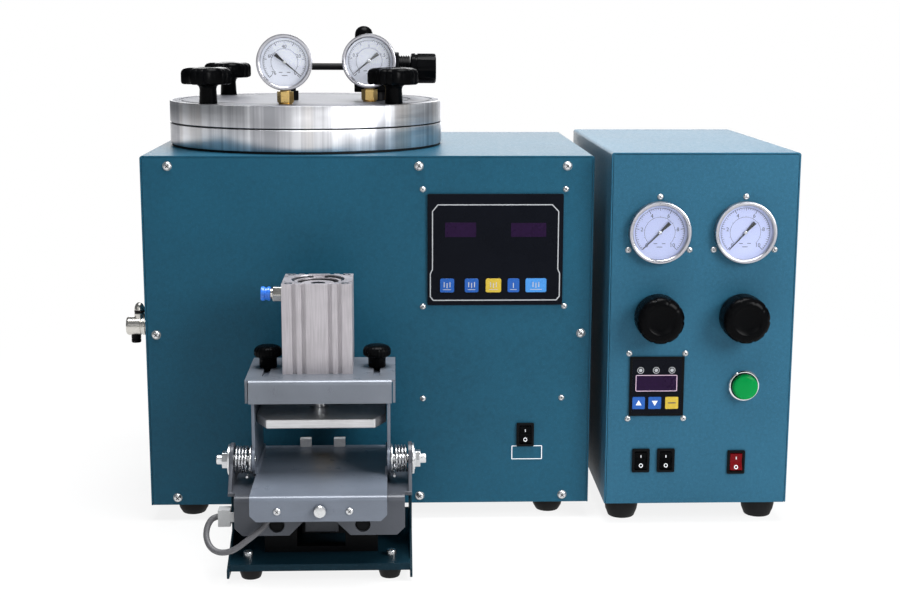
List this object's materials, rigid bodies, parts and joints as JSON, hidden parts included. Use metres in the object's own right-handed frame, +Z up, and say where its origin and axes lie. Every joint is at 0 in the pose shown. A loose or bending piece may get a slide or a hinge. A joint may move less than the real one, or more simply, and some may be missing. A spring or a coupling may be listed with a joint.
{
  "type": "jewelry wax injector",
  "caption": "Wax injector set: cabinet with heated wax pot and gauges, pneumatic mould clamp on its own base, and a pneumatic control box with gauges and knobs.",
  "frame": {"origin": "centre of the bounding box, on the bench", "axes": "+X right along the front panels, +Y from the front to the back, +Z up"},
  "size_m": [0.6134, 0.46, 0.446],
  "materials": {
    "teal_paint": "fine textured teal powder coat",
    "silver_paint": "smooth silver grey paint",
    "bare_aluminium": "machined aluminium, fine tool marks",
    "bright_steel": "turned and polished stainless steel",
    "zinc_steel": "bright zinc plated steel",
    "chrome": "polished chrome bezel",
    "brass": "turned brass",
    "nickel": "nickel plated brass",
    "rubber_black": "matt black rubber",
    "black_plastic": "black moulded plastic, light sheen",
    "gloss_film": "glossy dark printed film",
    "needle_paint": "matt black painted needle",
    "green_plastic": "green moulded cap",
    "red_plastic": "red moulded rocker",
    "blue_plastic": "blue acetal collar on a nickel body",
    "circuit_board": "green solder mask",
    "heater_skin": "heat tinted band",
    "pump_paint": "dark grey enamel",
    "cable_jacket": "dark grey cable jacket",
    "connector_grey": "grey moulded connector"
  },
  "bodies": {
    "machine": {"cabinet_cover": "teal_paint", "cabinet_front": "teal_paint", "cabinet_base": "teal_paint", "panel_screws": "zinc_steel", "rubber_feet": "rubber_black", "wax_pot": "bright_steel", "pot_seals": "rubber_black", "heater_band": "heater_skin", "nozzle_block": "brass", "display_panel": "gloss_film", "switch_bodies": "black_plastic", "vacuum_pump": "pump_paint", "control_board": "circuit_board", "side_valve": "nickel", "power_inlets": "black_plastic", "box_cover": "teal_paint", "box_chassis": "teal_paint", "box_gauges": "chrome", "box_regulators": "pump_paint", "timer_panel": "gloss_film", "clamp_base": "teal_paint", "guide_rods": "pump_paint", "slide_cylinder": "bare_aluminium"},
    "lid": {"pot_lid": "bright_steel", "lid_gauges": "chrome", "lid_regulator": "black_plastic", "lid_hose": "rubber_black"},
    "carriage": {"carriage": "silver_paint", "pivot_bolts": "zinc_steel", "torsion_springs": "zinc_steel", "button_cable": "cable_jacket", "cable_ends": "connector_grey"},
    "frame": {"tray": "silver_paint", "side_plates": "silver_paint", "mould_stops": "bare_aluminium"},
    "head": {"top_bracket": "silver_paint", "press_cylinder": "bare_aluminium", "air_fitting": "blue_plastic"},
    "press": {"piston_rod": "chrome", "press_plate": "bare_aluminium"},
    "lid_knob_1": {"lid_knob_1": "black_plastic"},
    "lid_knob_2": {"lid_knob_2": "black_plastic"},
    "lid_knob_3": {"lid_knob_3": "black_plastic"},
    "lid_knob_4": {"lid_knob_4": "black_plastic"},
    "lid_needle_1": {"lid_needle_1": "needle_paint"},
    "lid_needle_2": {"lid_needle_2": "needle_paint"},
    "lid_regulator_knob": {"lid_regulator_knob": "black_plastic"},
    "nozzle_tip": {"nozzle_tip": "brass"},
    "cabinet_rocker": {"cabinet_rocker": "black_plastic"},
    "box_needle_1": {"box_needle_1": "needle_paint"},
    "box_needle_2": {"box_needle_2": "needle_paint"},
    "box_knob_1": {"box_knob_1": "black_plastic"},
    "box_knob_2": {"box_knob_2": "black_plastic"},
    "push_button": {"push_button": "green_plastic"},
    "box_rocker_1": {"box_rocker_1": "black_plastic"},
    "box_rocker_2": {"box_rocker_2": "black_plastic"},
    "box_rocker_3": {"box_rocker_3": "red_plastic"},
    "start_button": {"start_button": "zinc_steel"},
    "head_knob_1": {"head_knob_1": "black_plastic"},
    "head_knob_2": {"head_knob_2": "black_plastic"}
  },
  "joints": [
    {"name": "lid_lift", "type": "slide", "parent": "machine", "child": "lid", "axis": [0, 0, 1], "range_m": [0, 0.15]},
    {"name": "lid_knob_1_spin", "type": "hinge", "parent": "lid", "child": "lid_knob_1", "pos_m": [-0.2177, -0.0035, 0.3965], "axis": [0, 0, 1], "continuous": true},
    {"name": "lid_knob_2_spin", "type": "hinge", "parent": "lid", "child": "lid_knob_2", "pos_m": [-0.0497, -0.0035, 0.3965], "axis": [0, 0, 1], "continuous": true},
    {"name": "lid_knob_3_spin", "type": "hinge", "parent": "lid", "child": "lid_knob_3", "pos_m": [-0.2177, 0.1645, 0.3965], "axis": [0, 0, 1], "continuous": true},
    {"name": "lid_knob_4_spin", "type": "hinge", "parent": "lid", "child": "lid_knob_4", "pos_m": [-0.0497, 0.1645, 0.3965], "axis": [0, 0, 1], "continuous": true},
    {"name": "lid_needle_1_swing", "type": "hinge", "parent": "lid", "child": "lid_needle_1", "pos_m": [-0.1472, -0.0203, 0.414], "axis": [0, 1, 0], "range_deg": [-270, 0], "stiffness_Nm_per_rad": 0.0006},
    {"name": "lid_needle_2_swing", "type": "hinge", "parent": "lid", "child": "lid_needle_2", "pos_m": [-0.0724, 0.0257, 0.414], "axis": [0, 1, 0], "range_deg": [0, 270], "stiffness_Nm_per_rad": 0.0006},
    {"name": "lid_regulator_turn", "type": "hinge", "parent": "lid", "child": "lid_regulator_knob", "pos_m": [-0.0257, 0.0565, 0.4065], "axis": [1, 0, 0], "continuous": true},
    {"name": "nozzle_push", "type": "slide", "parent": "machine", "child": "nozzle_tip", "axis": [0, 1, 0], "range_m": [0, 0.003], "stiffness_N_per_m": 2500},
    {"name": "cabinet_rocker_tip", "type": "hinge", "parent": "machine", "child": "cabinet_rocker", "pos_m": [0.0691, -0.057, 0.0796], "axis": [1, 0, 0], "range_deg": [0, 14]},
    {"name": "box_rocker_1_tip", "type": "hinge", "parent": "machine", "child": "box_rocker_1", "pos_m": [0.1725, -0.077, 0.0602], "axis": [1, 0, 0], "range_deg": [0, 14]},
    {"name": "box_rocker_2_tip", "type": "hinge", "parent": "machine", "child": "box_rocker_2", "pos_m": [0.1952, -0.077, 0.0602], "axis": [1, 0, 0], "range_deg": [0, 14]},
    {"name": "box_rocker_3_tip", "type": "hinge", "parent": "machine", "child": "box_rocker_3", "pos_m": [0.2594, -0.077, 0.0581], "axis": [1, 0, 0], "range_deg": [0, 14]},
    {"name": "box_needle_1_swing", "type": "hinge", "parent": "machine", "child": "box_needle_1", "pos_m": [0.1836, -0.0828, 0.2685], "axis": [0, 1, 0], "range_deg": [0, 270], "stiffness_Nm_per_rad": 0.0006},
    {"name": "box_knob_1_turn", "type": "hinge", "parent": "machine", "child": "box_knob_1", "pos_m": [0.1836, -0.089, 0.193], "axis": [0, 1, 0], "continuous": true},
    {"name": "box_needle_2_swing", "type": "hinge", "parent": "machine", "child": "box_needle_2", "pos_m": [0.2594, -0.0828, 0.2685], "axis": [0, 1, 0], "range_deg": [0, 270], "stiffness_Nm_per_rad": 0.0006},
    {"name": "box_knob_2_turn", "type": "hinge", "parent": "machine", "child": "box_knob_2", "pos_m": [0.2594, -0.089, 0.193], "axis": [0, 1, 0], "continuous": true},
    {"name": "push_button_press", "type": "slide", "parent": "machine", "child": "push_button", "axis": [0, 1, 0], "range_m": [0, 0.003], "stiffness_N_per_m": 700},
    {"name": "carriage_slide", "type": "slide", "parent": "machine", "child": "carriage", "axis": [0, 1, 0], "range_m": [0, 0.015]},
    {"name": "frame_tilt", "type": "hinge", "parent": "carriage", "child": "frame", "pos_m": [-0.1112, -0.164, 0.0895], "axis": [1, 0, 0], "range_deg": [-3, 3], "stiffness_Nm_per_rad": 90},
    {"name": "start_button_press", "type": "slide", "parent": "frame", "child": "start_button", "axis": [0, 1, 0], "range_m": [0, 0.0012], "stiffness_N_per_m": 900},
    {"name": "head_adjust", "type": "slide", "parent": "frame", "child": "head", "axis": [0, 1, 0], "range_m": [-0.008, 0.006]},
    {"name": "head_knob_1_spin", "type": "hinge", "parent": "frame", "child": "head_knob_1", "pos_m": [-0.1576, -0.125, 0.165], "axis": [0, 0, 1], "continuous": true},
    {"name": "head_knob_2_spin", "type": "hinge", "parent": "frame", "child": "head_knob_2", "pos_m": [-0.0648, -0.125, 0.165], "axis": [0, 0, 1], "continuous": true},
    {"name": "press_down", "type": "slide", "parent": "head", "child": "press", "axis": [0, 0, -1], "range_m": [0, 0.032]}
  ]
}
